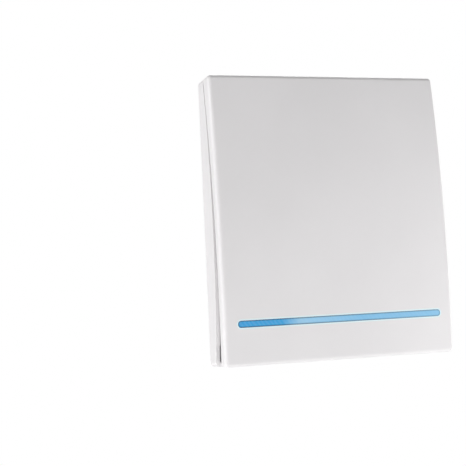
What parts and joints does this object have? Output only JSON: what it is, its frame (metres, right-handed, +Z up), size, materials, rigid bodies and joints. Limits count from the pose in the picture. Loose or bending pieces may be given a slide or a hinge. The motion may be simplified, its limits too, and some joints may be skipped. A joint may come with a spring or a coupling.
{
  "type": "wireless remote wall switch",
  "caption": "Square slim wall panel with one arched rocker key hinged at its top, a blue light bar, and a push switch, coin cell and radio board inside.",
  "frame": {"origin": "centre of the back face, on the wall plane", "axes": "+Z up, -Y out of the wall towards the room, +X to the right as seen from the room"},
  "size_m": [0.086, 0.0121, 0.086],
  "materials": {
    "white_shell": "satin moulded white",
    "inner_white": "matt moulded white",
    "blue_bar": "translucent blue",
    "clear_guide": "clear moulded acrylic",
    "board_laminate": "green solder mask",
    "screw_steel": "zinc plated",
    "spring_steel": "bright wire",
    "stainless": "bright stainless",
    "nickel_strip": "nickel plated",
    "tinned_leads": "tin plated",
    "black_plastic": "moulded black",
    "plunger_plastic": "moulded ivory",
    "package_metal": "plated lid",
    "capacitor_case": "moulded ochre",
    "capacitor_ceramic": "fired tan",
    "resistor_ceramic": "black film on ceramic",
    "copper_wire": "enamelled copper",
    "led_resin": "white resin",
    "soft_rubber": "matt"
  },
  "bodies": {
    "base": {"base_tray": "white_shell", "inner_cover": "inner_white", "light_guide": "clear_guide", "circuit_board": "board_laminate", "cover_screws": "screw_steel", "board_screws": "screw_steel", "return_springs": "spring_steel", "coin_cell": "stainless", "switch_cover": "stainless", "switch_dome": "stainless", "battery_clip": "nickel_strip", "negative_contact": "nickel_strip", "switch_terminals": "tinned_leads", "switch_housing": "black_plastic", "radio_chip": "black_plastic", "rf_transistor": "black_plastic", "saw_resonator": "package_metal", "crystal": "package_metal", "tantalum_capacitor": "capacitor_case", "ceramic_capacitors": "capacitor_ceramic", "chip_resistors": "resistor_ceramic", "antenna_wire": "copper_wire", "indicator_leds": "led_resin", "rubber_bumpers": "soft_rubber"},
    "key": {"rocker_key": "white_shell", "light_bar": "blue_bar", "press_pad": "soft_rubber"},
    "plunger": {"switch_plunger": "plunger_plastic"}
  },
  "joints": [
    {"name": "key_press", "type": "hinge", "parent": "base", "child": "key", "pos_m": [0, -0.0043, 0.03886], "axis": [1, 0, 0], "range_deg": [0, 1.5], "stiffness_Nm_per_rad": 0.6, "springref_deg": -3.44, "deforming": ["return_springs"]},
    {"name": "switch_press", "type": "slide", "parent": "base", "child": "plunger", "axis": [0, 1, 0], "range_m": [0, 0.0004], "deforming": ["switch_dome"]}
  ],
  "couplings": [
    {"joint": "switch_press", "follows": "key_press", "m_per_rad": 0.015}
  ]
}
